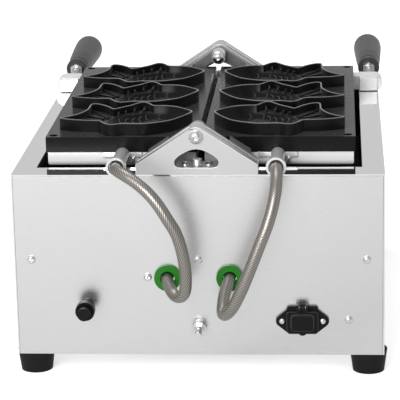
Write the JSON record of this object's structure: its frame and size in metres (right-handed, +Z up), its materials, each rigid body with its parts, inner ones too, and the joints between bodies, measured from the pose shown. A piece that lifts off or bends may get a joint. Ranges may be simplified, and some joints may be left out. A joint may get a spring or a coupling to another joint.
{
  "type": "fish waffle cooker",
  "caption": "Countertop cooker: two cast plates with fish moulds turn like book leaves on a centre axis over a stainless cabinet, with handles and wire conduits.",
  "frame": {"origin": "on the standing surface under the middle of the object's whole length and width, measured without the two conduits", "axes": "+X to the right as seen from the rear panel, +Y from the rear panel towards the handles, +Z up"},
  "size_m": [0.3788, 0.6433, 0.2541],
  "materials": {
    "stainless_sheet": "brushed",
    "silver_casting": "satin",
    "pan_metal": "satin",
    "black_coating": "satin non-stick",
    "plated_steel": "polished",
    "dark_steel": "satin",
    "braid": "braided",
    "grip_plastic": "satin",
    "black_plastic": "satin",
    "foot_rubber": "matte",
    "green_rubber": "matte",
    "brass_pins": "polished",
    "white_print": "satin",
    "red_plastic": "gloss",
    "lamp_lens": "gloss"
  },
  "bodies": {
    "cabinet": {"cabinet_wrap": "stainless_sheet", "rear_panel": "stainless_sheet", "front_panel": "stainless_sheet", "base_plate": "stainless_sheet", "heater_well": "stainless_sheet", "panel_screws": "plated_steel", "foot_rear_left": "foot_rubber", "foot_rear_right": "foot_rubber", "foot_front_left": "foot_rubber", "foot_front_right": "foot_rubber", "foot_screws": "plated_steel", "rear_pivot_bracket": "silver_casting", "front_pivot_bracket": "silver_casting", "bracket_screws": "plated_steel", "rear_pivot_bolt": "plated_steel", "front_pivot_bolt": "plated_steel", "rear_pivot_clip": "dark_steel", "front_pivot_spacer": "plated_steel", "conduit_left": "braid", "conduit_right": "braid", "grommet_left": "green_rubber", "grommet_right": "green_rubber", "inlet_body": "black_plastic", "inlet_pins": "brass_pins", "inlet_hinge_pin": "plated_steel", "reset_body": "black_plastic", "reset_nut": "black_plastic", "earth_stud": "plated_steel", "earth_nuts": "plated_steel", "dial_plates": "white_print", "control_units": "dark_steel", "switch_body": "black_plastic", "indicator_lamps": "lamp_lens"},
    "left_plate": {"left_mould_plate": "black_coating", "left_heater_pan": "pan_metal", "left_heating_element": "dark_steel", "left_rear_arm": "silver_casting", "left_front_arm": "silver_casting", "left_plate_screws": "dark_steel", "left_conduit_sleeve": "pan_metal", "left_handle_lug": "silver_casting", "left_handle_stud": "plated_steel", "left_handle_nut": "plated_steel", "left_handle_grip": "grip_plastic"},
    "right_plate": {"right_mould_plate": "black_coating", "right_heater_pan": "pan_metal", "right_heating_element": "dark_steel", "right_rear_arm": "silver_casting", "right_front_arm": "silver_casting", "right_plate_screws": "dark_steel", "right_conduit_sleeve": "pan_metal", "right_handle_lug": "silver_casting", "right_handle_stud": "plated_steel", "right_handle_nut": "plated_steel", "right_handle_grip": "grip_plastic"},
    "inlet_cover": {"inlet_cover": "black_plastic"},
    "reset_button": {"reset_button": "black_plastic"},
    "thermostat_knob": {"thermostat_knob": "black_plastic"},
    "timer_knob": {"timer_knob": "black_plastic"},
    "switch_rocker": {"switch_rocker": "red_plastic"}
  },
  "joints": [
    {"name": "left_plate_pivot", "type": "hinge", "parent": "cabinet", "child": "left_plate", "pos_m": [0, 0, 0.2447], "axis": [0, 1, 0], "range_deg": [0, 180], "deforming": ["conduit_left"]},
    {"name": "right_plate_pivot", "type": "hinge", "parent": "cabinet", "child": "right_plate", "pos_m": [0, 0, 0.2447], "axis": [0, -1, 0], "range_deg": [0, 180], "deforming": ["conduit_right"]},
    {"name": "inlet_cover_hinge", "type": "hinge", "parent": "cabinet", "child": "inlet_cover", "pos_m": [0.10184, -0.2809, 0.07358], "axis": [-1, 0, 0], "range_deg": [0, 110]},
    {"name": "reset_press", "type": "slide", "parent": "cabinet", "child": "reset_button", "axis": [0, 1, 0], "range_m": [0, 0.003], "stiffness_N_per_m": 500},
    {"name": "thermostat_turn", "type": "hinge", "parent": "cabinet", "child": "thermostat_knob", "pos_m": [0.095, 0.1625, 0.1071], "axis": [0, 1, 0], "range_deg": [-150, 150]},
    {"name": "timer_turn", "type": "hinge", "parent": "cabinet", "child": "timer_knob", "pos_m": [-0.095, 0.1625, 0.1071], "axis": [0, 1, 0], "range_deg": [-150, 150]},
    {"name": "switch_rock", "type": "hinge", "parent": "cabinet", "child": "switch_rocker", "pos_m": [0, 0.1625, 0.1071], "axis": [1, 0, 0], "range_deg": [0, 16]}
  ]
}
